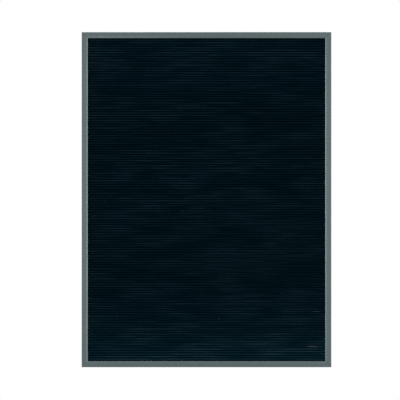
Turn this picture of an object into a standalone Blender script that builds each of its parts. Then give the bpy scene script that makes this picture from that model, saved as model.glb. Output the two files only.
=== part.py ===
"""Felt letter board: a grooved felt panel held in a mitred aluminium channel frame.

Metres, +Z up. The front faces -Y. The origin is on the bottom edge, at mid width and mid depth.
"""

import math
from collections import namedtuple

import bmesh
import bpy

# Overall size of the frame
BOARD_WIDTH = 0.745
BOARD_HEIGHT = 1.0

# Clearance wherever two pieces seat on each other
FIT = 0.0003

# Frame channel, as its section is drawn
FACE_WIDTH = 0.018
WALL = 0.0015
FRONT_THICKNESS = 0.0015
WEB_THICKNESS = 0.0013
LIP_THICKNESS = 0.0013
LIP_REACH = 0.0015
NOSE_DEPTH = 0.003
NOSE_BEVEL_WIDTH = 0.006
NOSE_BEVEL_DEPTH = 0.0012
FRONT_RADIUS = 0.001
REAR_RADIUS = 0.0005
MITRE_GAP = 0.0002

# Felt face and the slotted core under it
EDGE_ROOM = 0.001
RIB_PITCH = 0.0075
SLIT_WIDTH = 0.0012
SLIT_DEPTH = 0.0045
RIB_RADIUS = 0.0018
RIB_CROWN = 0.0003
RIB_CHAMFER = 0.0008
FELT_THICKNESS = 0.0008
CORE_BACKING = 0.0027
LEAST_END_LAND = 0.008

# Backboard and the spring clips behind it
BACKBOARD_THICKNESS = 0.003
CLIP_LENGTH = 0.05
CLIP_WIDTH = 0.01
CLIP_TIP_WIDTH = 0.006
CLIP_THICKNESS = 0.0006
CLIP_BOW = 0.0009
CLIP_FROM_CORNER = 0.15
MOST_CLIP_SPACING = 0.36

# Corner hardware in the rear channel
SHIM_THICKNESS = 0.0008
ANGLE_STANDOFF = 0.001
ANGLE_THICKNESS = 0.003
ANGLE_ARM = 0.045
ANGLE_CORNER_CUT = 0.002
SCREW_FROM_ARM_END = 0.012
SCREW_RADIUS = 0.002
SCREW_PROUD = 0.0008
SCREW_CHAMFER = 0.0004
SOCKET_ACROSS_FLATS = 0.002
SOCKET_DEPTH = 0.002

# Hangers in the top channel
HANGER_FROM_CORNER = 0.1225
HANGER_LENGTH = 0.034
HANGER_STEEL = 0.001
HANGER_PROUD = 0.0005
HANGER_BEND_RADIUS = 0.0006
KEYHOLE_RADIUS = 0.0035
KEYSLOT_RADIUS = 0.00225
KEYSLOT_RISE = 0.003

# Rubber pads between the frame and the wall
PAD_RADIUS = 0.008
PAD_THICKNESS = 0.0022
PAD_EDGE_RADIUS = 0.0008
PAD_FROM_CORNER = 0.07

# Facets of round shapes
CIRCLE_STEPS = 12
PAD_STEPS = 18
CORNER_STEPS = 2
BOW_STEPS = 8

# Depths from the front face backwards, one piece seated behind the other
FELT_FRONT = NOSE_DEPTH + FIT
SLIT_FLOOR = FELT_FRONT + SLIT_DEPTH
LINING = FELT_FRONT + RIB_CROWN + FELT_THICKNESS
CORE_FRONT = LINING + FIT
GROOVE_FLOOR = SLIT_FLOOR + FELT_THICKNESS + FIT
CORE_BACK = GROOVE_FLOOR + CORE_BACKING
BACKBOARD_FRONT = CORE_BACK + FIT
BACKBOARD_BACK = BACKBOARD_FRONT + BACKBOARD_THICKNESS
CLIP_FRONT = BACKBOARD_BACK + FIT
WEB_FRONT = CLIP_FRONT + CLIP_BOW + CLIP_THICKNESS + FIT
WEB_BACK = WEB_FRONT + WEB_THICKNESS
SHIM_FRONT = WEB_BACK + FIT
SHIM_BACK = SHIM_FRONT + SHIM_THICKNESS
ANGLE_FRONT = SHIM_BACK + ANGLE_STANDOFF
ANGLE_BACK = ANGLE_FRONT + ANGLE_THICKNESS
LIP_FRONT = ANGLE_BACK + FIT
RAIL_DEPTH = LIP_FRONT + LIP_THICKNESS
PAD_FRONT = RAIL_DEPTH + FIT
PAD_BACK = PAD_FRONT + PAD_THICKNESS
FRONT_Y = -PAD_BACK / 2

# Widths across a rail, from its outer side inwards
CHANNEL_INNER = FACE_WIDTH - WALL
CHANNEL_MIDDLE = FACE_WIDTH / 2
HARDWARE_OUTER = WALL + FIT
HARDWARE_INNER = CHANNEL_INNER - FIT
CROWN_OUTER = WALL + LIP_REACH + FIT
CROWN_INNER = CHANNEL_INNER - LIP_REACH - FIT

# Outline of the felt, core and backboard package
PACKAGE_WIDTH = BOARD_WIDTH - 2 * (WALL + EDGE_ROOM)
PACKAGE_HEIGHT = BOARD_HEIGHT - 2 * (WALL + EDGE_ROOM)
CORE_HEIGHT = PACKAGE_HEIGHT - 2 * (FELT_THICKNESS + FIT)

Side = namedtuple("Side", "name turn x z length")
SIDES = (
    Side("top", 0, 0, BOARD_HEIGHT, BOARD_WIDTH),
    Side("right", 90, BOARD_WIDTH / 2, BOARD_HEIGHT / 2, BOARD_HEIGHT),
    Side("bottom", 180, 0, 0, BOARD_WIDTH),
    Side("left", 270, -BOARD_WIDTH / 2, BOARD_HEIGHT / 2, BOARD_HEIGHT),
)
CORNERS = (
    Side("top_left", 0, -BOARD_WIDTH / 2, BOARD_HEIGHT, 0),
    Side("top_right", 90, BOARD_WIDTH / 2, BOARD_HEIGHT, 0),
    Side("bottom_right", 180, BOARD_WIDTH / 2, 0, 0),
    Side("bottom_left", 270, -BOARD_WIDTH / 2, 0, 0),
)


def clear_scene():
    """Take every object of the open file out of it."""
    for old in list(bpy.data.objects):
        bpy.data.objects.remove(old)


def make_material(name, colour, roughness, metallic):
    """A Principled material with a linear colour."""
    material = bpy.data.materials.new(name)
    material.use_nodes = True
    shader = material.node_tree.nodes["Principled BSDF"]
    shader.inputs["Base Color"].default_value = (*colour, 1)
    shader.inputs["Roughness"].default_value = roughness
    shader.inputs["Metallic"].default_value = metallic
    return material


def shade(mesh, smooth_below=30):
    """Shade a mesh smooth, but sharp at edges over the given angle in degrees."""
    mesh.shade_smooth()
    mesh.set_sharp_from_angle(angle=math.radians(smooth_below))
    return mesh


def to_mesh(name, bm, smooth_below=30):
    """Turn a bmesh into a mesh that faces outwards."""
    bmesh.ops.recalc_face_normals(bm, faces=bm.faces)
    mesh = bpy.data.meshes.new(name)
    bm.to_mesh(mesh)
    bm.free()
    return shade(mesh, smooth_below)


def place(name, mesh, material, side, along=0.0):
    """Put a mesh on one side or corner of the frame, some way along it.

    The mesh is drawn as on the top side: +X along it, +Y backwards from the front face, -Z inwards.
    """
    node = bpy.data.objects.new(name, mesh)
    bpy.context.scene.collection.objects.link(node)
    if not mesh.materials:
        mesh.materials.append(material)
    turn = math.radians(side.turn)
    node.rotation_euler = (0, turn, 0)
    node.location = (side.x + along * math.cos(turn), FRONT_Y, side.z - along * math.sin(turn))
    return node


def arc(across, depth, radius, start, end, steps):
    """Points on an arc round (across, depth), between two angles in degrees."""
    points = []
    for step in range(steps + 1):
        angle = math.radians(start + (end - start) * step / steps)
        points.append((across + radius * math.cos(angle), depth + radius * math.sin(angle)))
    return points


def extrude(bm, faces, shift):
    """Push faces along a vector into a closed solid and return the vertices of the far end."""
    grown = bmesh.ops.extrude_face_region(bm, geom=faces)["geom"]
    far = [item for item in grown if isinstance(item, bmesh.types.BMVert)]
    bmesh.ops.translate(bm, verts=far, vec=shift)
    return far


def stack_rings(rings):
    """A closed solid through rings of equally many points, with a flat end on the first and last."""
    bm = bmesh.new()
    loops = [[bm.verts.new(point) for point in ring] for ring in rings]
    count = len(loops[0])
    for near, far in zip(loops, loops[1:]):
        for i in range(count):
            j = (i + 1) % count
            bm.faces.new((near[i], near[j], far[j], far[i]))
    bm.faces.new(loops[0])
    bm.faces.new(loops[-1])
    return bm


def carve(name, body, cutters):
    """Cut solids out of a body with Booleans and return the carved mesh."""
    block = bpy.data.objects.new(name, to_mesh(name, body))
    bpy.context.scene.collection.objects.link(block)
    tools = []
    for cutter in cutters:
        tool = bpy.data.objects.new(name + "_cutter", to_mesh(name + "_cutter", cutter))
        bpy.context.scene.collection.objects.link(tool)
        cut = block.modifiers.new("cut", "BOOLEAN")
        cut.operation = "DIFFERENCE"
        cut.solver = "EXACT"
        cut.object = tool
        tools.append(tool)
    graph = bpy.context.evaluated_depsgraph_get()
    carved = bpy.data.meshes.new_from_object(block.evaluated_get(graph))
    for used in (block, *tools):
        bpy.data.objects.remove(used)
    return shade(carved)


# Frame rails


def channel_section():
    """The channel's section, once round, as (inwards, backwards) from the outer front edge.

    The wall under the inner bevel slopes with it.
    """
    bevel_start = FACE_WIDTH - NOSE_BEVEL_WIDTH
    drop_at_wall = NOSE_BEVEL_DEPTH * (CHANNEL_INNER - bevel_start) / NOSE_BEVEL_WIDTH
    front_corner = arc(FRONT_RADIUS, FRONT_RADIUS, FRONT_RADIUS, 180, 270, 2 * CORNER_STEPS)
    rear_corner = arc(REAR_RADIUS, RAIL_DEPTH - REAR_RADIUS, REAR_RADIUS, 90, 180, CORNER_STEPS)
    face_and_nose = [
        (bevel_start, 0),
        (FACE_WIDTH, NOSE_BEVEL_DEPTH),
        (FACE_WIDTH, NOSE_DEPTH),
        (CHANNEL_INNER, NOSE_DEPTH),
        (CHANNEL_INNER, FRONT_THICKNESS + drop_at_wall),
        (bevel_start, FRONT_THICKNESS),
        (WALL, FRONT_THICKNESS),
    ]
    rear_channel = [
        (WALL, WEB_FRONT),
        (FACE_WIDTH, WEB_FRONT),
        (FACE_WIDTH, RAIL_DEPTH),
        (CHANNEL_INNER - LIP_REACH, RAIL_DEPTH),
        (CHANNEL_INNER - LIP_REACH, LIP_FRONT),
        (CHANNEL_INNER, LIP_FRONT),
        (CHANNEL_INNER, WEB_BACK),
        (WALL, WEB_BACK),
        (WALL, LIP_FRONT),
        (WALL + LIP_REACH, LIP_FRONT),
        (WALL + LIP_REACH, RAIL_DEPTH),
    ]
    return front_corner + face_and_nose + rear_channel + rear_corner


def rail_mesh(name, length):
    """A rail whose two ends are mitred, so that it grows shorter inwards."""
    bm = bmesh.new()
    ring = [bm.verts.new((0, depth, -across)) for across, depth in channel_section()]
    far = set(extrude(bm, [bm.faces.new(ring)], (0, 0, 0)))
    for vert in bm.verts:
        reach = length / 2 + vert.co.z - MITRE_GAP / math.sqrt(2)
        vert.co.x = reach if vert in far else -reach
    return to_mesh(name, bm)


# Felt, core and backboard


def groove_heights():
    """Heights of the groove centres, from the top down, spread evenly about the board's middle."""
    spans = int((PACKAGE_HEIGHT - 2 * LEAST_END_LAND) / RIB_PITCH)
    first = BOARD_HEIGHT / 2 + spans * RIB_PITCH / 2
    return [first - index * RIB_PITCH for index in range(spans + 1)]


def chamfer(height, front, away):
    """The two ends of a rib's chamfer in (height, depth), from its flank to its front.

    The flank is at a height, the rib lies above it (away is 1) or below it (away is -1).
    """
    return [(height, front + RIB_CHAMFER), (height + away * RIB_CHAMFER, front)]


def felt_outlines():
    """The felt's outer and inner line in (height, depth), and the pairs of indices that tie them.

    The sheet turns over the core's top edge, dips into each groove and turns over the bottom edge.
    """
    top = BOARD_HEIGHT / 2 + PACKAGE_HEIGHT / 2
    bottom = BOARD_HEIGHT / 2 - PACKAGE_HEIGHT / 2
    shoulder = FELT_FRONT + RIB_CROWN + RIB_RADIUS
    half = SLIT_WIDTH / 2
    back = half + FELT_THICKNESS
    outer = [(top, CORE_BACK)] + arc(top - RIB_RADIUS, shoulder, RIB_RADIUS, 0, -90, CORNER_STEPS)
    inner = [(top - FELT_THICKNESS, CORE_BACK), *chamfer(top - FELT_THICKNESS, LINING, -1)]
    ties = [(0, 0)]
    heights = groove_heights()
    for height in heights:
        outer += arc(height + half + RIB_RADIUS, shoulder, RIB_RADIUS, -90, -180, CORNER_STEPS)
        inner += [*chamfer(height + back, LINING, 1)[::-1], (height + back, SLIT_FLOOR + FELT_THICKNESS)]
        ties.append((len(outer), len(inner) - 1))
        outer += [(height + half, SLIT_FLOOR), (height - half, SLIT_FLOOR)]
        inner += [(height - back, SLIT_FLOOR + FELT_THICKNESS), *chamfer(height - back, LINING, -1)]
        ties.append((len(outer) - 1, len(inner) - 3))
        outer += arc(height - half - RIB_RADIUS, shoulder, RIB_RADIUS, 0, -90, CORNER_STEPS)
        if height != heights[-1]:
            outer.append((height - RIB_PITCH / 2, FELT_FRONT))
    outer += arc(bottom + RIB_RADIUS, shoulder, RIB_RADIUS, -90, -180, CORNER_STEPS)
    outer.append((bottom, CORE_BACK))
    inner += [*chamfer(bottom + FELT_THICKNESS, LINING, 1)[::-1], (bottom + FELT_THICKNESS, CORE_BACK)]
    ties.append((len(outer) - 1, len(inner) - 1))
    return outer, inner, ties


def core_outlines():
    """The core's grooved front line and flat back line in (height, depth), and the ties between them."""
    top = BOARD_HEIGHT / 2 + CORE_HEIGHT / 2
    bottom = BOARD_HEIGHT / 2 - CORE_HEIGHT / 2
    half = SLIT_WIDTH / 2 + FELT_THICKNESS + FIT
    front = chamfer(top, CORE_FRONT, -1)
    back = [(top, CORE_BACK)]
    ties = [(0, 0)]
    for height in groove_heights():
        front += [*chamfer(height + half, CORE_FRONT, 1)[::-1], (height + half, GROOVE_FLOOR)]
        front += [(height - half, GROOVE_FLOOR), *chamfer(height - half, CORE_FRONT, -1)]
        back.append((height, CORE_BACK))
        ties.append((len(front) - 3, len(back) - 1))
    front += chamfer(bottom, CORE_FRONT, 1)[::-1]
    back.append((bottom, CORE_BACK))
    ties.append((len(front) - 1, len(back) - 1))
    return front, back, ties


def panel_mesh(name, outlines, smooth_below=30):
    """Extrude the band between two lines across the board's width.

    The band is filled piece by piece, each piece from one tie to the next, and extruded as one region.
    """
    first, second, ties = outlines
    bm = bmesh.new()
    edge = -PACKAGE_WIDTH / 2
    near = [bm.verts.new((edge, depth, height)) for height, depth in first]
    far = [bm.verts.new((edge, depth, height)) for height, depth in second]
    for (near_a, far_a), (near_b, far_b) in zip(ties, ties[1:]):
        piece = near[near_a : near_b + 1] + far[far_a : far_b + 1][::-1]
        bm.faces.new(piece)
    extrude(bm, bm.faces[:], (PACKAGE_WIDTH, 0, 0))
    return to_mesh(name, bm, smooth_below)


def backboard_mesh(name):
    """A flat board behind the core."""
    bm = bmesh.new()
    low = BOARD_HEIGHT / 2 - PACKAGE_HEIGHT / 2
    corners = ((-0.5, 0), (0.5, 0), (0.5, 1), (-0.5, 1))
    ring = []
    for across, up in corners:
        ring.append(bm.verts.new((across * PACKAGE_WIDTH, BACKBOARD_FRONT, low + up * PACKAGE_HEIGHT)))
    extrude(bm, [bm.faces.new(ring)], (0, BACKBOARD_THICKNESS, 0))
    return to_mesh(name, bm)


def spring_clip_mesh(name):
    """A steel strip bowed towards the backboard, with narrowed ends that bear on the web."""
    rings = []
    for step in range(BOW_STEPS + 1):
        share = 2 * step / BOW_STEPS - 1
        along = share * CLIP_LENGTH / 2
        half = (CLIP_TIP_WIDTH if abs(share) == 1 else CLIP_WIDTH) / 2
        front = CLIP_FRONT + CLIP_BOW * share**2
        back = front + CLIP_THICKNESS
        rings.append(
            [
                (along, front, -CHANNEL_MIDDLE - half),
                (along, front, -CHANNEL_MIDDLE + half),
                (along, back, -CHANNEL_MIDDLE + half),
                (along, back, -CHANNEL_MIDDLE - half),
            ]
        )
    return to_mesh(name, stack_rings(rings))


def clip_places(length):
    """Distances of the clips from the middle of a rail."""
    reach = length / 2 - CLIP_FROM_CORNER
    spans = max(1, math.ceil(2 * reach / MOST_CLIP_SPACING))
    return [reach * (2 * index / spans - 1) for index in range(spans + 1)]


# Corner hardware


def elbow(depth, thickness):
    """An L-shaped plate that reaches from the frame's corner into both channels, its tip cut off."""
    outer = HARDWARE_OUTER
    inner = HARDWARE_INNER
    end = HARDWARE_OUTER + ANGLE_ARM
    cut = HARDWARE_OUTER + ANGLE_CORNER_CUT
    outline = [(outer, cut), (cut, outer), (end, outer), (end, inner), (inner, inner), (inner, end), (outer, end)]
    bm = bmesh.new()
    ring = [bm.verts.new((along, depth, -across)) for along, across in outline]
    extrude(bm, [bm.faces.new(ring)], (0, thickness, 0))
    return bm


def screw_places():
    """The two screws of a corner, as (along, inwards) from the frame's corner."""
    reach = HARDWARE_OUTER + ANGLE_ARM - SCREW_FROM_ARM_END
    return ((reach, CHANNEL_MIDDLE), (CHANNEL_MIDDLE, reach))


def circle(radius, depth, along=0.0, across=0.0, steps=CIRCLE_STEPS):
    """A ring of points parallel to the front face."""
    turns = [2 * math.pi * step / steps for step in range(steps)]
    return [(along + radius * math.cos(turn), depth, radius * math.sin(turn) - across) for turn in turns]


def hexagon(across_flats, depth):
    """A hexagon with a point on each corner and each flat, so that it joins a circle of 12 points."""
    points = []
    for step in range(CIRCLE_STEPS):
        turn = 2 * math.pi * step / CIRCLE_STEPS
        off_corner = (turn + math.pi / 6) % (math.pi / 3) - math.pi / 6
        radius = across_flats / 2 / math.cos(math.pi / 6 - abs(off_corner))
        points.append((radius * math.cos(turn), depth, radius * math.sin(turn)))
    return points


def set_screw_mesh(name):
    """A headless screw with chamfered ends and a hex socket in its rear end."""
    tip = SHIM_BACK + FIT
    end = ANGLE_BACK + SCREW_PROUD
    rings = [
        circle(SCREW_RADIUS - SCREW_CHAMFER, tip),
        circle(SCREW_RADIUS, tip + SCREW_CHAMFER),
        circle(SCREW_RADIUS, end - SCREW_CHAMFER),
        circle(SCREW_RADIUS - SCREW_CHAMFER, end),
        hexagon(SOCKET_ACROSS_FLATS, end),
        hexagon(SOCKET_ACROSS_FLATS, end - SOCKET_DEPTH),
    ]
    return to_mesh(name, stack_rings(rings))


def corner_angle_mesh(name):
    """The thick elbow, with a clear hole for each of its two screws."""
    holes = []
    for along, across in screw_places():
        rim = [
            circle(SCREW_RADIUS + FIT, ANGLE_FRONT - ANGLE_STANDOFF, along, across),
            circle(SCREW_RADIUS + FIT, ANGLE_BACK + ANGLE_STANDOFF, along, across),
        ]
        holes.append(stack_rings(rim))
    return carve(name, elbow(ANGLE_FRONT, ANGLE_THICKNESS), holes)


# Hangers and wall pads


def hanger_section():
    """The hanger's hat shape, once round, as (inwards, backwards) from the outer front edge."""
    flange_back = LIP_FRONT - FIT
    flange_front = flange_back - HANGER_STEEL
    crown_back = RAIL_DEPTH + HANGER_PROUD
    crown_front = crown_back - HANGER_STEEL
    bend = HANGER_BEND_RADIUS
    inner_side = CROWN_INNER - HANGER_STEEL
    outer_side = CROWN_OUTER + HANGER_STEEL
    return [
        (HARDWARE_OUTER, flange_front),
        (outer_side, flange_front),
        (outer_side, crown_front),
        (inner_side, crown_front),
        (inner_side, flange_front),
        (HARDWARE_INNER, flange_front),
        (HARDWARE_INNER, flange_back),
        (CROWN_INNER, flange_back),
        *arc(CROWN_INNER - bend, crown_back - bend, bend, 0, 90, CORNER_STEPS),
        *arc(CROWN_OUTER + bend, crown_back - bend, bend, 90, 180, CORNER_STEPS),
        (CROWN_OUTER, flange_back),
        (HARDWARE_OUTER, flange_back),
    ]


def keyhole_outline():
    """A round hole with a narrower slot above it, as (along, up) from the middle of the channel."""
    drop = (KEYHOLE_RADIUS - KEYSLOT_RADIUS - KEYSLOT_RISE) / 2
    joint = math.degrees(math.asin(KEYSLOT_RADIUS / KEYHOLE_RADIUS))
    slot_end = arc(0, drop + KEYSLOT_RISE, KEYSLOT_RADIUS, 0, 180, CIRCLE_STEPS // 2)
    hole = arc(0, drop, KEYHOLE_RADIUS, 90 + joint, 450 - joint, CIRCLE_STEPS)
    return slot_end + hole


def hanger_mesh(name):
    """The hat-shaped strip with its keyhole cut through the crown."""
    strip = bmesh.new()
    half = HANGER_LENGTH / 2
    ring = [strip.verts.new((-half, depth, -across)) for across, depth in hanger_section()]
    extrude(strip, [strip.faces.new(ring)], (HANGER_LENGTH, 0, 0))
    cutter = bmesh.new()
    start = RAIL_DEPTH + HANGER_PROUD - 2 * HANGER_STEEL
    rim = [cutter.verts.new((along, start, up - CHANNEL_MIDDLE)) for along, up in keyhole_outline()]
    extrude(cutter, [cutter.faces.new(rim)], (0, 3 * HANGER_STEEL, 0))
    return carve(name, strip, [cutter])


def wall_pad_mesh(name):
    """A round rubber pad across the lips, with a softened rear edge."""
    rings = [circle(PAD_RADIUS, PAD_FRONT, across=CHANNEL_MIDDLE, steps=PAD_STEPS)]
    edge = arc(PAD_RADIUS - PAD_EDGE_RADIUS, PAD_BACK - PAD_EDGE_RADIUS, PAD_EDGE_RADIUS, 0, 90, CORNER_STEPS)
    for radius, depth in edge:
        rings.append(circle(radius, depth, across=CHANNEL_MIDDLE, steps=PAD_STEPS))
    return to_mesh(name, stack_rings(rings))


def build_frame(aluminium):
    """The four mitred rails."""
    for side in SIDES:
        name = "rail_" + side.name
        place(name, rail_mesh(name, side.length), aluminium, side)


def build_package(felt, fibreboard, hardboard, spring_steel):
    """The felt, the core under it, the backboard and the clips that press them forward."""
    upright = Side("package", 0, 0, 0, 0)
    place("felt_face", panel_mesh("felt_face", felt_outlines(), smooth_below=50), felt, upright)
    place("slotted_core", panel_mesh("slotted_core", core_outlines()), fibreboard, upright)
    place("backboard", backboard_mesh("backboard"), hardboard, upright)
    clip = spring_clip_mesh("spring_clip")
    for side in SIDES:
        for number, along in enumerate(clip_places(side.length), start=1):
            place(f"spring_clip_{side.name}_{number}", clip, spring_steel, side, along)


def build_corners(zinc, shim_steel, screw_steel):
    """The angle, shim and screws that draw two rails together at each corner."""
    angle = corner_angle_mesh("corner_angle")
    shim = to_mesh("corner_shim", elbow(SHIM_FRONT, SHIM_THICKNESS))
    screw = set_screw_mesh("set_screw")
    for corner in CORNERS:
        place("corner_angle_" + corner.name, angle, zinc, corner)
        place("corner_shim_" + corner.name, shim, shim_steel, corner)
        for number, (along, across) in enumerate(screw_places(), start=1):
            node = place(f"set_screw_{corner.name}_{number}", screw, screw_steel, corner, along)
            turn = math.radians(corner.turn)
            node.location.x -= across * math.sin(turn)
            node.location.z -= across * math.cos(turn)


def build_back(spring_steel, rubber):
    """The two keyhole hangers and the four wall pads."""
    top = SIDES[0]
    hanger = hanger_mesh("hanger")
    pad = wall_pad_mesh("wall_pad")
    for name, sign in (("left", -1), ("right", 1)):
        reach = top.length / 2 - HANGER_FROM_CORNER
        place("hanger_" + name, hanger, spring_steel, top, sign * reach)
        for side in (SIDES[0], SIDES[2]):
            along = sign * (side.length / 2 - PAD_FROM_CORNER) * math.cos(math.radians(side.turn))
            place(f"wall_pad_{side.name}_{name}", pad, rubber, side, along)


def main():
    """Build every piece of the board."""
    clear_scene()
    aluminium = make_material("anodised_aluminium", (0.122, 0.153, 0.162), 0.38, 1.0)
    felt = make_material("needle_felt", (0.0012, 0.006, 0.009), 1.0, 0.0)
    fibreboard = make_material("fibreboard", (0.32, 0.2, 0.11), 0.85, 0.0)
    hardboard = make_material("hardboard", (0.13, 0.065, 0.03), 0.6, 0.0)
    zinc = make_material("zinc_plated_steel", (0.52, 0.53, 0.55), 0.35, 1.0)
    shim_steel = make_material("bright_steel", (0.4, 0.4, 0.41), 0.3, 1.0)
    spring_steel = make_material("blued_spring_steel", (0.16, 0.17, 0.19), 0.35, 1.0)
    screw_steel = make_material("black_oxide_steel", (0.03, 0.03, 0.032), 0.45, 1.0)
    rubber = make_material("black_rubber", (0.012, 0.012, 0.012), 0.8, 0.0)
    build_frame(aluminium)
    build_package(felt, fibreboard, hardboard, spring_steel)
    build_corners(zinc, shim_steel, screw_steel)
    build_back(spring_steel, rubber)


main()
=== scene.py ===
"""Felt letter board: the finish and fine form of every piece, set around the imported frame.

Metres, +Z up. The felt faces -Y and the wall fittings are on the +Y side.
"""

import logging
import math
from abc import ABC, abstractmethod
from dataclasses import dataclass, field
from enum import Enum
from typing import Callable, Iterable, Optional, Sequence, Union

import bmesh
import bpy
import numpy as np
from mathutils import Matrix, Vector


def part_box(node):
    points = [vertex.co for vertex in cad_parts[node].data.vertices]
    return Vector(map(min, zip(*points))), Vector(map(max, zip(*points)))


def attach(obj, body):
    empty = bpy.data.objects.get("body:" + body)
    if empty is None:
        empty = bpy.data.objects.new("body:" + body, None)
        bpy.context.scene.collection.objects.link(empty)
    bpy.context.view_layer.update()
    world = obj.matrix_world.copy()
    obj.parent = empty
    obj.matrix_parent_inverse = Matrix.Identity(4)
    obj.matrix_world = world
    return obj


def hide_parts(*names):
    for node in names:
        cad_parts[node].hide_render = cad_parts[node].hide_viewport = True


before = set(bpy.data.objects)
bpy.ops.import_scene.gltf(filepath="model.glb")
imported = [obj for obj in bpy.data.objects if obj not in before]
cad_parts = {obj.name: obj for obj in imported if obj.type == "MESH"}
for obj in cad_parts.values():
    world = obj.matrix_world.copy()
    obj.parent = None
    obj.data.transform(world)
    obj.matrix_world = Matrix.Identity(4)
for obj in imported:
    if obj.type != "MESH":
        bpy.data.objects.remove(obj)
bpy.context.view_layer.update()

LOG = logging.getLogger("letter_board")
MM = 0.001
WHITE = (1.0, 1.0, 1.0, 1.0)
# Edge angles in degrees: over the first an edge stays sharp in shading, and over the second it is bevelled.
SHARP_OVER = 35.0
BEVEL_OVER = 40.0
BEVEL_SEGMENTS = 2
# One rounded corner takes up a little less than half of an edge at most, so that two never meet.
MOST_EDGE_SHARE = 0.49

Point = tuple[float, float]
Point3 = tuple[float, float, float]
Value = Union[float, int, str, bool, tuple, bpy.types.Node, bpy.types.NodeSocket]


class Grain(Enum):
    """The way that a drawn or rolled metal's fine lines run."""

    ALONG_X = (0.0, 1.0, 1.0)
    ALONG_Z = (1.0, 1.0, 0.0)


class Side(Enum):
    """A side or corner of the frame: its name, and the turn in degrees that brings the top side there."""

    TOP = ("top", 0)
    RIGHT = ("right", 90)
    BOTTOM = ("bottom", 180)
    LEFT = ("left", 270)
    TOP_LEFT = ("top_left", 0)
    TOP_RIGHT = ("top_right", 90)
    BOTTOM_RIGHT = ("bottom_right", 180)
    BOTTOM_LEFT = ("bottom_left", 270)

    @property
    def title(self) -> str:
        """The side's name in a node's name."""
        return self.value[0]

    @property
    def turn(self) -> float:
        """The side's turn about Y, in radians."""
        return math.radians(self.value[1])


STRAIGHT_SIDES = (Side.TOP, Side.RIGHT, Side.BOTTOM, Side.LEFT)
CORNER_SIDES = (Side.TOP_LEFT, Side.TOP_RIGHT, Side.BOTTOM_RIGHT, Side.BOTTOM_LEFT)


def linear(hex_colour: str) -> tuple[float, float, float, float]:
    """Turn an sRGB hex colour into a linear one.

    Args:
        hex_colour: Six hex digits after a hash sign.

    Returns:
        Red, green and blue as linear values, and an alpha of 1.
    """
    parts = [int(hex_colour[i : i + 2], 16) / 255 for i in (1, 3, 5)]
    values = [c / 12.92 if c <= 0.04045 else ((c + 0.055) / 1.055) ** 2.4 for c in parts]
    return (values[0], values[1], values[2], 1.0)


def add_node(
    tree: bpy.types.NodeTree,
    kind: str,
    inputs: Optional[dict[Union[str, int], Value]] = None,
    **settings: Value,
) -> bpy.types.Node:
    """Add a node to a tree with its settings, values and links.

    Args:
        tree: The tree that it is added to.
        kind: The node's type, without the ShaderNode that every type here starts with.
        inputs: A value, a socket or a node for each input, by name or number. A node stands for its first
            output.
        settings: The node's own properties.

    Returns:
        The new node.
    """
    node = tree.nodes.new("ShaderNode" + kind)
    for name, value in settings.items():
        setattr(node, name, value)
    for name, value in (inputs or {}).items():
        if isinstance(value, bpy.types.Node):
            value = value.outputs[0]
        if isinstance(value, bpy.types.NodeSocket):
            tree.links.new(value, node.inputs[name])
        else:
            node.inputs[name].default_value = value
    return node


def empty_tree(owner: Union[bpy.types.Material, bpy.types.World]) -> bpy.types.NodeTree:
    """Give a material or a world a node tree with nothing in it."""
    owner.use_nodes = True
    owner.node_tree.nodes.clear()
    return owner.node_tree


def put(name: str, data: bpy.types.ID) -> bpy.types.Object:
    """Make an object of a mesh, a lamp or a camera, and put it in the scene."""
    item = bpy.data.objects.new(name, data)
    bpy.context.scene.collection.objects.link(item)
    return item


def axis_of(node: str) -> Point:
    """The X and Z of the middle of one of the frame's nodes."""
    low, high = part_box(node)
    return (low.x + high.x) / 2, (low.z + high.z) / 2


@dataclass(frozen=True)
class Layer:
    """One layer of detail on a finish: soft blobs of a real size that tint, dull or raise the surface.

    Spacing is a blob's size in metres along X, Y and Z. The layer shows in full where its pattern, which runs
    from about 0 to 1, is over high, and not at all where it is under low. The colour, if there is one, covers
    what lies under it by the strength. The added roughness dulls the surface, and the height, in metres,
    raises it.
    """

    spacing: Point3
    low: float = 0.35
    high: float = 0.65
    colour: str = ""
    strength: float = 1.0
    added_roughness: float = 0.0
    height: float = 0.0
    detail: float = 2.0
    fineness: float = 0.5


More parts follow.
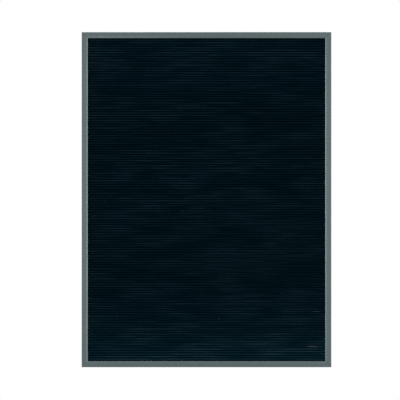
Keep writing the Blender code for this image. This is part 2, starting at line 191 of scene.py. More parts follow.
class Finish(ABC):
    """The surface of one real material: a base colour and gloss under layers of detail."""

    name: str
    colour: str
    roughness: float
    metallic: float = 0.0

    @abstractmethod
    def layers(self) -> tuple[Layer, ...]:
        """The layers of detail, in the order that they are laid."""

    def base(self, tree: bpy.types.NodeTree, place: bpy.types.NodeSocket) -> Value:
        """The colour under the layers.

        Args:
            tree: The material's tree.
            place: The socket that gives a point's place on the board.

        Returns:
            A colour, or what gives one.
        """
        return linear(self.colour)

    def top(self, tree: bpy.types.NodeTree, place: bpy.types.NodeSocket, colour: Value) -> Value:
        """The colour after the last layer.

        Args:
            tree: The material's tree.
            place: The socket that gives a point's place on the board.
            colour: The colour that the layers leave.

        Returns:
            A colour, or what gives one.
        """
        return colour

    def fixed(self) -> dict[str, Value]:
        """The values that are the same all over the surface."""
        return {"Metallic": self.metallic}

    def build(self) -> bpy.types.Material:
        """Make the material from its base, its layers and its fixed values."""
        material = bpy.data.materials.new(self.name)
        tree = empty_tree(material)
        place = add_node(tree, "TexCoord").outputs["Object"]
        surface = dict(self.fixed())
        colour, rough = self.base(tree, place), self.roughness
        for layer in self.layers():
            scale = tuple(1 / size for size in layer.spacing)
            spread = add_node(tree, "Mapping", {"Vector": place, "Scale": scale})
            inputs = {"Vector": spread, "Scale": 1.0, "Detail": layer.detail, "Roughness": layer.fineness}
            pattern = add_node(tree, "TexNoise", inputs)
            share = add_node(tree, "MapRange", {"Value": pattern, 1: layer.low, 2: layer.high})
            if layer.colour:
                cover = add_node(tree, "Math", {0: share, 1: layer.strength}, operation="MULTIPLY")
                inputs = {"Fac": cover, "Color1": colour, "Color2": linear(layer.colour)}
                colour = add_node(tree, "MixRGB", inputs)
            if layer.added_roughness:
                inputs = {0: share, 1: layer.added_roughness, 2: rough}
                rough = add_node(tree, "Math", inputs, operation="MULTIPLY_ADD")
            if layer.height:
                inputs = {"Height": pattern, "Distance": layer.height}
                if "Normal" in surface:
                    inputs["Normal"] = surface["Normal"]
                surface["Normal"] = add_node(tree, "Bump", inputs)
        surface["Base Color"] = self.top(tree, place, colour)
        surface["Roughness"] = rough
        shader = add_node(tree, "BsdfPrincipled", surface)
        add_node(tree, "OutputMaterial", {"Surface": shader})
        return material


@dataclass(frozen=True)
class AnodisedAluminium(Finish):
    """Extruded aluminium, etched satin and anodised grey."""

    # The etch spreads every reflection, so that the rail reads as one soft mid grey, a little blue. Fine die
    # lines run along it and the colour drifts slowly from one end to the other. A lighter strip is painted
    # along the inner edge of the side rails and of the top rail's left end: a painted highlight of the bevel.
    grain: Grain
    inner_edge: Point3
    colour: str = "#5A6566"
    dark: str = "#545F61"
    # Painted highlight: the lighter colour of the inner-edge strip, full within the first distance and gone
    # by the second
    painted_highlight: str = "#6C777A"
    highlight_full: float = 4.5 * MM
    highlight_end: float = 6.5 * MM
    # Where along the top rail the painted highlight starts to fade and where it ends, from the board's middle
    fade_start: float = -200 * MM
    fade_end: float = -50 * MM
    roughness: float = 0.32
    metallic: float = 1.0
    # Real die lines are some 0.1 mm apart, and are drawn at 0.6 mm so that they show.
    line_spacing: float = 0.6 * MM
    line_length: float = 400 * MM
    line_height: float = 0.006 * MM
    cloud_size: float = 90 * MM

    @property
    def name(self) -> str:
        """The material's name, with the way that its lines run."""
        return f"satin_anodised_aluminium_{self.grain.name.lower()}"

    def base(self, tree: bpy.types.NodeTree, place: bpy.types.NodeSocket) -> Value:
        """The grey, with a painted highlight that makes it lighter near the inner edge."""
        on_side = self.grain is Grain.ALONG_Z
        halves = add_node(tree, "VectorMath", {0: place}, operation="ABSOLUTE")
        inputs = {0: halves, 1: (1.0, 0.0, 0.0) if on_side else (0.0, 0.0, 1.0)}
        across = add_node(tree, "VectorMath", inputs, operation="MULTIPLY")
        inputs = {0: place, 1: (0.0, 1.0, 0.0), 2: across}
        point = add_node(tree, "VectorMath", inputs, operation="MULTIPLY_ADD")
        inputs = {0: point, 1: self.inner_edge}
        away = add_node(tree, "VectorMath", inputs, operation="DISTANCE").outputs["Value"]
        # Painted highlight of the inner bevel: full near the inner edge, fading out further off
        kept = add_node(tree, "MapRange", {"Value": away, 1: self.highlight_full, 2: self.highlight_end})
        if not on_side:
            axes = add_node(tree, "SeparateXYZ", {0: place})
            inputs = {"Value": axes.outputs["X"], 1: self.fade_start, 2: self.fade_end}
            inputs = {0: kept, 1: add_node(tree, "MapRange", inputs)}
            kept = add_node(tree, "Math", inputs, operation="MAXIMUM")
        inputs = {"Fac": kept, "Color1": linear(self.painted_highlight), "Color2": linear(self.colour)}
        return add_node(tree, "MixRGB", inputs)

    def layers(self) -> tuple[Layer, ...]:
        """Die lines, then slow clouds."""
        lines = tuple(self.line_spacing if across else self.line_length for across in self.grain.value)
        relief = {"added_roughness": 0.06, "height": self.line_height}
        return (
            Layer(lines, colour=self.dark, strength=0.7, detail=3, **relief),
            Layer((self.cloud_size,) * 3, low=0.3, high=0.7, colour=self.dark, strength=0.25, detail=1),
        )


@dataclass(frozen=True)
class NeedleFelt(Finish):
    """Needled polyester felt, dyed blue-black."""

    # It has no gloss at all. Light reaches only the nap on the outermost part of a rib, which reads as a
    # fine greyish line, and everything below that is nearly black; the colour paints this in, as a painted
    # highlight on the crown and painted shade on the flanks and in the slits. Tufts break the line up, and
    # where the nap lies flat the line fades out for a hand's breadth. Low on the right the painted highlight
    # and shade are evened out, and the lines there are faint.
    front: float
    foot: float
    height: float
    name: str = "blue_black_needle_felt"
    # The crown's colour with a painted highlight, and the painted shade of the flanks and slits below it
    colour: str = "#112128"
    flank: str = "#00090E"
    tuft: str = "#1A2D34"
    flat_nap: str = "#010F15"
    roughness: float = 1.0
    sheen: float = 0.012
    sheen_roughness: float = 0.5
    sheen_tint: str = "#40707C"
    # How far behind the crown the painted shade is full
    painted_shade_depth: float = 0.9 * MM
    # Felt fibres are 0.03 mm thick. Their tufts are drawn at 0.9 mm so that they show.
    tuft_width: float = 0.9 * MM
    tuft_length: float = 2.6 * MM
    tuft_height: float = 0.22 * MM
    streak_width: float = 5 * MM
    streak_length: float = 110 * MM
    cloud_length: float = 150 * MM
    cloud_height: float = 45 * MM
    # The zone where the painted rib highlight and shade are evened out: its middle as X and as height over
    # the foot, how far it reaches each way, the share of that reach that is evened out in full, and how
    # strongly. The last share says how far from the crown's colour to the flank's a whole rib is there, so
    # that the zone is no lighter than the rest.
    shade_fade_middle: Point = (170 * MM, 310 * MM)
    shade_fade_reach: Point = (390 * MM, 225 * MM)
    shade_fade_core: float = 0.4
    shade_fade_strength: float = 1.0
    shade_fade_share: float = 0.44
    # How light the felt is painted at shares of the board's height: painted light and shade, lightest at the
    # foot.
    painted_light_by_height: tuple[Point, ...] = (
        (0.02, 2.05),
        (0.10, 1.48),
        (0.18, 1.16),
        (0.28, 1.04),
        (0.46, 1.06),
        (0.74, 0.93),
        (0.85, 1.07),
        (0.95, 1.11),
    )

    def layers(self) -> tuple[Layer, ...]:
        """Tufts, streaks of flattened nap along the ribs, and larger flattened patches."""
        tufts = (self.tuft_length, self.tuft_width, self.tuft_width)
        streaks = (self.streak_length, self.streak_width, self.streak_width)
        clouds = (self.cloud_length, self.cloud_height, self.cloud_height)
        return (
            Layer(tufts, 0.5, 0.75, self.tuft, strength=0.5, height=self.tuft_height, detail=4, fineness=0.6),
            Layer(streaks, 0.40, 0.62, self.flat_nap, strength=0.85),
            Layer(clouds, 0.42, 0.62, self.flat_nap, strength=0.65, detail=1),
        )

    def base(self, tree: bpy.types.NodeTree, place: bpy.types.NodeSocket) -> Value:
        """The crown's colour with its painted highlight, going over into painted shade on the flanks below
        it.
        """
        axes = add_node(tree, "SeparateXYZ", {0: place})
        inputs = {"Value": axes.outputs["Y"], 1: self.front, 2: self.front + self.painted_shade_depth}
        deep = add_node(tree, "MapRange", inputs)
        # Evens out the painted rib highlight and shade in the zone low on the right
        inputs = {"Value": self.rib_shade_fade(tree, place), 3: deep, 4: self.shade_fade_share}
        share = add_node(tree, "MapRange", inputs)
        inputs = {"Fac": share, "Color1": linear(self.colour), "Color2": linear(self.flank)}
        return add_node(tree, "MixRGB", inputs)

    def rib_shade_fade(self, tree: bpy.types.NodeTree, place: bpy.types.NodeSocket) -> Value:
        """How far the painted rib highlight and shade are evened out: most in the middle of its zone, none
        outside it.
        """
        middle = (self.shade_fade_middle[0], 0.0, self.foot + self.shade_fade_middle[1])
        shares = (1 / self.shade_fade_reach[0], 0.0, 1 / self.shade_fade_reach[1])
        offset = add_node(tree, "VectorMath", {0: place, 1: middle}, operation="SUBTRACT")
        scaled = add_node(tree, "VectorMath", {0: offset, 1: shares}, operation="MULTIPLY")
        away = add_node(tree, "VectorMath", {0: scaled}, operation="LENGTH").outputs["Value"]
        inputs = {"Value": away, 1: self.shade_fade_core, 2: 1.0, 3: self.shade_fade_strength, 4: 0.0}
        return add_node(tree, "MapRange", inputs)

    def top(self, tree: bpy.types.NodeTree, place: bpy.types.NodeSocket, colour: Value) -> Value:
        """The colour made lighter or darker by its height on the board: painted light and shade."""
        axes = add_node(tree, "SeparateXYZ", {0: place})
        inputs = {"Value": axes.outputs["Z"], 1: self.foot, 2: self.foot + self.height}
        up = add_node(tree, "MapRange", inputs)
        most = max(light for _, light in self.painted_light_by_height)
        ramp = add_node(tree, "ValToRGB", {"Fac": up})
        stops = ramp.color_ramp.elements
        stops.remove(stops[-1])
        for number, (share, light) in enumerate(self.painted_light_by_height):
            stop = stops.new(share) if number else stops[0]
            stop.position = share
            stop.color = (light / most, light / most, light / most, 1.0)
        # Scales the colour by the painted light and shade for its height
        inputs = {0: ramp.outputs["Color"], 1: most}
        gain = add_node(tree, "Math", inputs, operation="MULTIPLY")
        return add_node(tree, "VectorMath", {0: colour, "Scale": gain}, operation="SCALE")

    def fixed(self) -> dict[str, Value]:
        """No specular gloss, and a faint sheen from the fibre ends."""
        return {
            "Metallic": self.metallic,
            "Specular IOR Level": 0.0,
            "Sheen Weight": self.sheen,
            "Sheen Roughness": self.sheen_roughness,
            "Sheen Tint": linear(self.sheen_tint),
        }


@dataclass(frozen=True)
class PressedBoard(Finish):
    """Wood fibre, pressed hot into a board."""

    # It is matt brown. Short fibres lie every way and give it a fine mottle, the brown drifts slowly over the
    # board, and bits of bark show as dark specks.
    name: str
    colour: str
    shade: str
    speck: str
    roughness: float = 0.56
    fibre_width: float = 0.6 * MM
    fibre_length: float = 4 * MM
    lone_fibre_height: float = 0.0125 * MM
    mat_size: float = 1.8 * MM
    mat_height: float = 0.05 * MM
    speck_spacing: float = 4 * MM
    cloud_size: float = 140 * MM

    def layers(self) -> tuple[Layer, ...]:
        """Lying fibres, standing fibres, matted fibres, clouds and specks."""
        wide, long = self.fibre_width, self.fibre_length
        mottle = {"colour": self.shade, "added_roughness": 0.06, "detail": 4, "fineness": 0.65}
        fibres = {"strength": 0.2, "height": self.lone_fibre_height, **mottle}
        return (
            Layer((long, wide, wide), 0.38, 0.66, **fibres),
            Layer((wide, wide, long), 0.38, 0.66, **fibres),
            Layer((self.mat_size,) * 3, 0.38, 0.62, strength=0.6, height=self.mat_height, **mottle),
            Layer((self.cloud_size,) * 3, 0.35, 0.7, self.shade, strength=0.4),
            Layer((self.speck_spacing,) * 3, 0.64, 0.7, self.speck, strength=0.7, detail=4, fineness=0.7),
        )


@dataclass(frozen=True)
class SkinnedSteel(Finish):
    """Steel sheet under a plated, oxide or oiled skin."""

    # The skin is thin, so that the steel still shines, but a second tint drifts over it in clouds, and the
    # scuffs of handling show as short dull lines.
    name: str
    colour: str
    cloud: str
    roughness: float
    metallic: float = 1.0
    cloud_size: float = 6 * MM
    # Handling scuffs are some 0.05 mm wide, and are drawn at 0.25 mm so that they show.
    scuff_width: float = 0.25 * MM
    scuff_length: float = 6 * MM
    scuff_height: float = 0.008 * MM

    def layers(self) -> tuple[Layer, ...]:
        """Clouds of the second tint, and scuffs."""
        scuffs = (self.scuff_length, self.scuff_width, self.scuff_width)
        return (
            Layer((self.cloud_size,) * 3, 0.35, 0.7, self.cloud, detail=3),
            Layer(scuffs, 0.3, 0.75, added_roughness=0.16, height=self.scuff_height),
        )


@dataclass(frozen=True)
class MouldedRubber(Finish):
    """Black rubber from a sparked mould."""

    # It is matt and finely grained, and greyer where it is dusty.
    name: str = "moulded_black_rubber"
    colour: str = "#17181A"
    dust: str = "#2B2C2D"
    roughness: float = 0.7
    grain: float = 0.35 * MM
    grain_height: float = 0.04 * MM
    dust_size: float = 4 * MM

    def layers(self) -> tuple[Layer, ...]:
        """Grain in the height and gloss, and dust in the colour."""
        return (
            Layer((self.grain,) * 3, 0.3, 0.7, added_roughness=0.16, height=self.grain_height),
            Layer((self.dust_size,) * 3, 0.5, 0.75, self.dust, strength=0.6, detail=3),
        )


@dataclass(frozen=True)
class LooseFibre(Finish):
    """Fibre that has come loose: settled lint, or the felt's own fibre rubbed up into a pill."""

    # It is matt, paler than the felt under it, and thinner in places, where the felt shows through.
    name: str
    colour: str
    thin: str
    roughness: float = 0.95
    patch: float = 3 * MM
    strand_width: float = 0.5 * MM
    strand_height: float = 0.1 * MM

    def layers(self) -> tuple[Layer, ...]:
        """Thin patches, and single strands."""
        strands = (self.patch, self.strand_width, self.strand_width)
        return (
            Layer((self.patch,) * 3, 0.4, 0.65, self.thin),
            Layer(strands, 0.4, 0.65, self.thin, strength=0.5, height=self.strand_height),
        )

    def fixed(self) -> dict[str, Value]:
        """No specular gloss."""
        return {"Metallic": self.metallic, "Specular IOR Level": 0.0}


def arc(across: float, depth: float, radius: float, start: float, end: float, steps: int) -> list[Point]:
    """Points on an arc.

    Args:
        across: The centre's first coordinate.
        depth: The centre's second coordinate.
        radius: The arc's radius.
        start: Its first angle in degrees.
        end: Its last angle in degrees.
        steps: How many chords it has.

    Returns:
        The points, both ends included.
    """
    turns = [math.radians(start + (end - start) * step / steps) for step in range(steps + 1)]
    return [(across + radius * math.cos(turn), depth + radius * math.sin(turn)) for turn in turns]


def round_corners(outline: Sequence[Point], radius: Union[float, Sequence[float]], steps: int) -> list[Point]:
    """Replace each corner of an outline by an arc that touches both its edges.

    Args:
        outline: The corners, once round.
        radius: One radius for all corners, or one for each.
        steps: How many chords each arc has.

    Returns:
        The rounded outline.
    """
    count = len(outline)
    radii = [radius] * count if isinstance(radius, float) else list(radius)
    rounded: list[Point] = []
    for i, corner in enumerate(outline):
        here = np.array(corner)
        to_last = np.array(outline[i - 1]) - here
        to_next = np.array(outline[(i + 1) % count]) - here
        last_length, next_length = np.linalg.norm(to_last), np.linalg.norm(to_next)
        to_last, to_next = to_last / last_length, to_next / next_length
        half = math.acos(max(-1.0, min(1.0, float(to_last @ to_next)))) / 2
        reach = min(radii[i] / math.tan(half), MOST_EDGE_SHARE * min(last_length, next_length))
        if reach <= 0:
            rounded.append(corner)
            continue
        size = reach * math.tan(half)
        middle = here + (to_last + to_next) / np.linalg.norm(to_last + to_next) * size / math.sin(half)
        first, last = here + to_last * reach - middle, here + to_next * reach - middle
        turn = math.atan2(first[0] * last[1] - first[1] * last[0], first @ last)
        for step in range(steps + 1):
            angle = turn * step / steps
            spun = (
                first[0] * math.cos(angle) - first[1] * math.sin(angle),
                first[0] * math.sin(angle) + first[1] * math.cos(angle),
            )
            rounded.append((middle[0] + spun[0], middle[1] + spun[1]))
    return rounded


def stack_rings(rings: Sequence[Sequence[Point3]]) -> bmesh.types.BMesh:
    """Join rings of equally many points into a closed solid with flat ends.

    Args:
        rings: The rings in order, each a list of points.

    Returns:
        The solid, with its faces pointing out.
    """
    bm = bmesh.new()
    loops = [[bm.verts.new(point) for point in ring] for ring in rings]
    count = len(loops[0])
    for near, far in zip(loops, loops[1:]):
        for i in range(count):
            j = (i + 1) % count
            bm.faces.new((near[i], near[j], far[j], far[i]))
    bm.faces.new(loops[0])
    bm.faces.new(loops[-1])
    bmesh.ops.recalc_face_normals(bm, faces=bm.faces)
    return bm


def finish_mesh(name: str, bm: bmesh.types.BMesh, sharp_over: float = SHARP_OVER) -> bpy.types.Mesh:
    """Turn a bmesh into a mesh, smooth but for its sharper edges.

    Args:
        name: The mesh's name.
        bm: The shape, which is used up.
        sharp_over: The edge angle in degrees over which an edge stays sharp.

    Returns:
        The mesh.
    """
    mesh = bpy.data.meshes.new(name)
    bm.to_mesh(mesh)
    bm.free()
    mesh.shade_smooth()
    mesh.set_sharp_from_angle(angle=math.radians(sharp_over))
    return mesh


def carve(
    name: str, body: bmesh.types.BMesh, cutters: Iterable[bmesh.types.BMesh], edge: float
) -> bpy.types.Mesh:
    """Cut solids out of a body and break the sharp edges that are left.

    Args:
        name: The new mesh's name.
        body: The solid that is cut, which is used up.
        cutters: The solids that are taken out of it, which are used up.
        edge: The width of the small bevel on each sharp edge, in metres.

    Returns:
        The carved mesh.
    """
    block = put(name, finish_mesh(name, body))
    used = [block]
    for cutter in cutters:
        tool = put(f"{name}_cutter", finish_mesh(f"{name}_cutter", cutter))
        cut = block.modifiers.new("cut", "BOOLEAN")
        cut.operation, cut.solver, cut.object = "DIFFERENCE", "EXACT", tool
        used.append(tool)
    soften = block.modifiers.new("soften", "BEVEL")
    soften.width, soften.segments = edge, BEVEL_SEGMENTS
    soften.limit_method, soften.angle_limit = "ANGLE", math.radians(BEVEL_OVER)
    graph = bpy.context.evaluated_depsgraph_get()
    carved = bpy.data.meshes.new_from_object(block.evaluated_get(graph))
    for item in used:
        bpy.data.objects.remove(item)
    carved.shade_smooth()
    carved.set_sharp_from_angle(angle=math.radians(SHARP_OVER))
    return carved


def ring_round(x: float, z: float, y: float, radii: Sequence[float]) -> list[Point3]:
    """A ring of points round an axis that runs along Y.

    Args:
        x: The axis in X.
        z: The axis in Z.
        y: The ring's place along the axis.
        radii: The distance of each point from the axis.

    Returns:
        The ring's points.
    """
    ring = []
    for step, radius in enumerate(radii):
        turn = 2 * math.pi * step / len(radii)
        ring.append((x + radius * math.cos(turn), y, z + radius * math.sin(turn)))
    return ring


def add_piece(
    name: str,
    mesh: bpy.types.Mesh,
    finish: bpy.types.Material,
    stands_for: Sequence[str] = (),
) -> bpy.types.Object:
    """Put a new piece on the board.

    Args:
        name: The piece's name.
        mesh: Its mesh, in the frame's own place.
        finish: Its material.
        stands_for: The frame's nodes that it takes the place of.

    Returns:
        The new object.
    """
    piece = put(name, mesh)
    mesh.materials.clear()
    mesh.materials.append(finish)
    if stands_for:
        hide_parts(*stands_for)
    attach(piece, "root")
    LOG.info("%s: %d faces, %s", name, len(mesh.polygons), finish.name)
    return piece


def dress(prefix: str, finish: bpy.types.Material) -> None:
    """Give a finish to every frame node whose name starts the same way.

    Args:
        prefix: The start of the names.
        finish: The material.
    """
    for name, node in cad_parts.items():
        if name.startswith(prefix):
            node.material_slots[0].material = finish
            LOG.info("%s: %s", name, finish.name)


@dataclass
class Outline:
    """The frame's outer size and front face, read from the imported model."""

    low: Vector = field(default_factory=lambda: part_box("rail_left")[0])
    high: Vector = field(default_factory=lambda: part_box("rail_right")[1])
    foot: float = field(default_factory=lambda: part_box("rail_bottom")[0].z)
    crown: float = field(default_factory=lambda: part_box("rail_top")[1].z)

    @property
    def width(self) -> float:
        """The frame's outer width."""
        return self.high.x - self.low.x

    @property
    def height(self) -> float:
        """The frame's outer height."""
        return self.crown - self.foot

    @property
    def front(self) -> float:
        """The Y of the front face."""
        return self.low.y

    @property
    def middle(self) -> float:
        """The height of the board's middle."""
        return (self.foot + self.crown) / 2

    def length(self, side: Side) -> float:
        """The outer length of one side."""
        return self.width if side in (Side.TOP, Side.BOTTOM) else self.height

    def origin(self, side: Side) -> Point:
        """The X and Z of a side's middle, or of a corner's tip."""
        across = {"left": -0.5, "right": 0.5}
        up = {"bottom": self.foot, "top": self.crown}
        words = side.title.split("_")
        x = sum(across.get(word, 0.0) for word in words) * self.width
        z = [up[word] for word in words if word in up] or [self.middle]
        return x, z[0]

    def place(self, side: Side, along: float, inwards: float, back: float) -> Point3:
        """A point in the frame's own place.

        Args:
            side: The side or corner that it is measured from.
            along: The distance along the side, as drawn on the top side from left to right.
            inwards: The distance from the outer edge towards the opening.
            back: The distance behind the front face.

        Returns:
            X, Y and Z.
        """
        x, z = self.origin(side)
        cos, sin = math.cos(side.turn), math.sin(side.turn)
        return (x + along * cos - inwards * sin, self.front + back, z - along * sin - inwards * cos)


@dataclass
class ChannelFrame:
    """The four mitred rails, redrawn with rounded arrises on the section that they are extruded to."""

    outline: Outline
    wall: float = 1.5 * MM
    web_front: float = 17.0 * MM
    web_thickness: float = 1.3 * MM
    lip_thickness: float = 1.3 * MM
    lip_reach: float = 1.5 * MM
    nose_depth: float = 3.0 * MM
    bevel_width: float = 6.0 * MM
    bevel_depth: float = 1.2 * MM
    bevel_steps: int = 8
    front_radius: float = 1.0 * MM
    front_steps: int = 6
    flat_start: float = 0.3 * MM
    arris_radius: float = 0.22 * MM
    arris_steps: int = 4
    mitre_gap: float = 0.2 * MM
    sharp_over: float = 50.0

    def section(self) -> list[Point]:
        """The channel's section, once round, as (inwards, back) with every corner rounded."""
        low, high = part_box("rail_top")
        face, depth = high.z - low.z, high.y - low.y
        inner = face - self.wall
        lip_front = depth - self.lip_thickness
        web_back = self.web_front + self.web_thickness
        bevel_start = face - self.bevel_width
        drop_at_wall = self.bevel_depth * (inner - bevel_start) / self.bevel_width
        turn = 2 * math.atan2(self.bevel_depth, self.bevel_width)
        radius = self.bevel_width / math.sin(turn)
        rolled = arc(bevel_start, radius, radius, -90, math.degrees(turn) - 90, self.bevel_steps)
        front = self.front_radius
        # A point just past each end of the front arc keeps the flat faces flat in shading too
        past = front + self.flat_start
        arris = arc(front, front, front, 180, 270, self.front_steps)
        rounded = [(0.0, past), *arris, (past, 0.0), *rolled[:-1]]
        corners = [
            *rounded,
            rolled[-1],
            (face, self.nose_depth),
            (inner, self.nose_depth),
            (inner, self.wall + drop_at_wall),
            (bevel_start, self.wall),
            (self.wall, self.wall),
            (self.wall, self.web_front),
            (face, self.web_front),
            (face, depth),
            (inner - self.lip_reach, depth),
            (inner - self.lip_reach, lip_front),
            (inner, lip_front),
            (inner, web_back),
            (self.wall, web_back),
            (self.wall, lip_front),
            (self.wall + self.lip_reach, lip_front),
            (self.wall + self.lip_reach, depth),
            (0.0, depth),
        ]
        radii = [0.0] * len(rounded) + [self.arris_radius] * (len(corners) - len(rounded))
        return round_corners(corners, radii, self.arris_steps)

    def rail(self, side: Side) -> bmesh.types.BMesh:
        """One rail between its two mitre planes."""
        half = self.outline.length(side) / 2
        gap = self.mitre_gap / math.sqrt(2)
        rings = []
        for end in (-1, 1):
            ring = []
            for inwards, back in self.section():
                ring.append(self.outline.place(side, end * (half - inwards - gap), inwards, back))
            rings.append(ring)
        return stack_rings(rings)

    def build(self) -> None:
        """Make the four rails in their finish."""
        back = self.outline.front + self.bevel_depth
        inner_edges = {
            Grain.ALONG_X: (0.0, back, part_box("rail_top")[0].z),
            Grain.ALONG_Z: (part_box("rail_right")[0].x, back, 0.0),
        }
        finishes = {grain: AnodisedAluminium(grain, edge).build() for grain, edge in inner_edges.items()}
        for side in STRAIGHT_SIDES:
            grain = Grain.ALONG_X if side in (Side.TOP, Side.BOTTOM) else Grain.ALONG_Z
            name = f"channel_{side.title}"
            mesh = finish_mesh(name, self.rail(side), self.sharp_over)
            add_piece(name, mesh, finishes[grain], [f"rail_{side.title}"])


@dataclass(frozen=True)
class SectionPoint:
    """A point of the felt's outer line, and how it follows the two slit edges beside it."""

    height: float
    back: float
    upper_edge: int = -1
    lower_edge: int = -1
    share: float = 0.0


@dataclass
class FeltPanel:
    """The felt sheet pressed into the slotted core, with the slight waver that a hand-laid felt has."""

    outline: Outline
    pitch: float = 7.5 * MM
    slit_width: float = 1.2 * MM
    slit_depth: float = 4.5 * MM
    rib_drop: float = 2.1 * MM
    rib_crown: float = 0.3 * MM
    rib_chamfer: float = 0.8 * MM
    thickness: float = 0.8 * MM
    least_end_land: float = 8 * MM
    # How full a rib's front is: 2 draws an ellipse, and more comes nearer to a box
    rib_fullness: float = 2.1
    rib_steps: int = 12
    stations: int = 32
    edge_waver: float = 0.14 * MM
    crown_waver: float = 0.10 * MM
    shortest_wave: float = 60 * MM
    longest_wave: float = 260 * MM
    waves: int = 4
    sharp_over: float = 60.0
    seed: int = 11

    @property
    def rib_points(self) -> int:
        """How many points of the outer line belong to one rib and the slit below it."""
        return self.rib_steps + 3

    def grooves(self) -> list[float]:
        """Heights of the groove centres, from the top down."""
        low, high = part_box("felt_face")
        spans = int((high.z - low.z - 2 * self.least_end_land) / self.pitch)
        first = (high.z + low.z) / 2 + spans * self.pitch / 2
        return [first - index * self.pitch for index in range(spans + 1)]

    def waver(self, count: int, across: np.ndarray) -> np.ndarray:
        """Smooth random offsets along the board, one row for each of count lines, from about -1 to 1."""
        random = np.random.default_rng(self.seed + count)
        lengths = random.uniform(self.shortest_wave, self.longest_wave, (count, self.waves, 1))
        phases = random.uniform(0, 2 * math.pi, (count, self.waves, 1))
        waves = np.sin(2 * math.pi * across[None, None, :] / lengths + phases)
        return waves.sum(axis=1) / math.sqrt(self.waves)

    def rib(self, top: float, bottom: float, front: float, upper: int, lower: int) -> list[SectionPoint]:
        """The rounded front of one rib.

        Args:
            top: The height of its upper flank.
            bottom: The height of its lower flank.
            front: How far its crown lies behind the frame's front face.
            upper: The number of the slit edge above it, or -1.
            lower: The number of the slit edge below it, or -1.

        Returns:
            Its points from flank to flank.
        """
        power = 2 / self.rib_fullness
        middle, half = (top + bottom) / 2, (top - bottom) / 2
        points = []
        for step in range(self.rib_steps + 1):
            turn = math.pi * step / self.rib_steps
            cos, sin = math.cos(turn), max(0.0, math.sin(turn))
            height = middle + half * math.copysign(abs(cos) ** power, cos)
            back = front + self.rib_drop * (1 - sin**power)
            points.append(SectionPoint(height, back, upper, lower, (top - height) / (2 * half)))
        return points

    def lines(self) -> tuple[list[SectionPoint], list[Point], list[tuple[int, int]]]:
        """The sheet's section.

        Returns:
            The outer line, the inner line in (height, back), and the index pairs that tie them.
        """
        low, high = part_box("felt_face")
        front = low.y - self.outline.front
        rear = high.y - self.outline.front
        lining = front + self.rib_crown + self.thickness
        floor = front + self.slit_depth
        half, back = self.slit_width / 2, self.slit_width / 2 + self.thickness
        heights = self.grooves()
        ease, thick = self.rib_chamfer, self.thickness
        tops = [high.z] + [height - half for height in heights]
        bottoms = [height + half for height in heights] + [low.z]
        outer = [SectionPoint(high.z, rear)]
        inner = [(high.z - thick, rear), (high.z - thick, lining + ease), (high.z - thick - ease, lining)]
        ties = [(0, 0)]
        for index, height in enumerate(heights):
            edge = 2 * index
            outer += self.rib(tops[index], bottoms[index], front, edge - 1, edge)
            inner += [(height + back + ease, lining), (height + back, lining + ease)]
            inner.append((height + back, floor + thick))
            ties.append((len(outer), len(inner) - 1))
            outer.append(SectionPoint(height + half, floor, edge, edge))
            outer.append(SectionPoint(height - half, floor, edge + 1, edge + 1))
            inner.append((height - back, floor + thick))
            ties.append((len(outer) - 1, len(inner) - 1))
            inner += [(height - back, lining + ease), (height - back - ease, lining)]
        outer += self.rib(tops[-1], bottoms[-1], front, 2 * len(heights) - 1, -1)
        outer.append(SectionPoint(low.z, rear))
        inner += [(low.z + thick + ease, lining), (low.z + thick, lining + ease), (low.z + thick, rear)]
        ties.append((len(outer) - 1, len(inner) - 1))
        return outer, inner, ties

    def developed_length(self) -> float:
        """The length of the flat sheet: the mean of the outer and inner lines."""
        outer, inner, _ = self.lines()
        lines = (np.array([(point.height, point.back) for point in outer]), np.array(inner))
        return float(sum(np.linalg.norm(np.diff(line, axis=0), axis=1).sum() for line in lines) / 2)

    def points(self, outer: Sequence[SectionPoint], inner: Sequence[Point]) -> np.ndarray:
        """The sheet's points, station by station across the board, wavering along its slits and crowns."""
        low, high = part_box("felt_face")
        across = np.linspace(low.x, high.x, self.stations)
        edges = self.waver(2 * len(self.grooves()), across) * self.edge_waver
        edges = np.vstack([edges, np.zeros_like(across)])
        upper = edges[[point.upper_edge for point in outer]]
        lower = edges[[point.lower_edge for point in outer]]
        share = np.array([point.share for point in outer])[:, None]
        crowns = self.waver(len(outer) // self.rib_points + 1, across) * self.crown_waver
        rib_of = np.arange(len(outer)) // self.rib_points
        bulge = np.clip(4 * share * (1 - share), 0, 1) * np.abs(crowns[rib_of])
        section = np.array([(point.height, point.back) for point in outer] + list(inner))
        points = np.zeros((self.stations, len(section), 3))
        points[:, :, 0] = across[:, None]
        points[:, :, 1] = section[:, 1] + self.outline.front
        points[:, :, 2] = section[:, 0]
        points[:, : len(outer), 2] += (upper * (1 - share) + lower * share).T
        points[:, : len(outer), 1] += bulge.T
        return points

    def mesh(self) -> bpy.types.Mesh:
        """The sheet as a closed mesh."""
        outer, inner, ties = self.lines()
        points = self.points(outer, inner)
        count, turn = points.shape[1], len(outer)
        loop = list(range(turn)) + list(range(count - 1, turn - 1, -1))
        faces = []
        for station in range(self.stations - 1):
            base = station * count
            for first, second in zip(loop, loop[1:] + loop[:1]):
                faces.append((base + first, base + second, base + count + second, base + count + first))
        last = (self.stations - 1) * count
        for (outer_a, inner_a), (outer_b, inner_b) in zip(ties, ties[1:]):
            cell = list(range(outer_a, outer_b + 1)) + [turn + i for i in range(inner_b, inner_a - 1, -1)]
            faces.append(tuple(reversed(cell)))
            faces.append(tuple(last + i for i in cell))
        mesh = bpy.data.meshes.new("felt_sheet")
        mesh.from_pydata(points.reshape(-1, 3), [], faces)
        bm = bmesh.new()
        bm.from_mesh(mesh)
        bmesh.ops.recalc_face_normals(bm, faces=bm.faces)
        bm.to_mesh(mesh)
        bm.free()
        mesh.shade_smooth()
        mesh.set_sharp_from_angle(angle=math.radians(self.sharp_over))
        return mesh

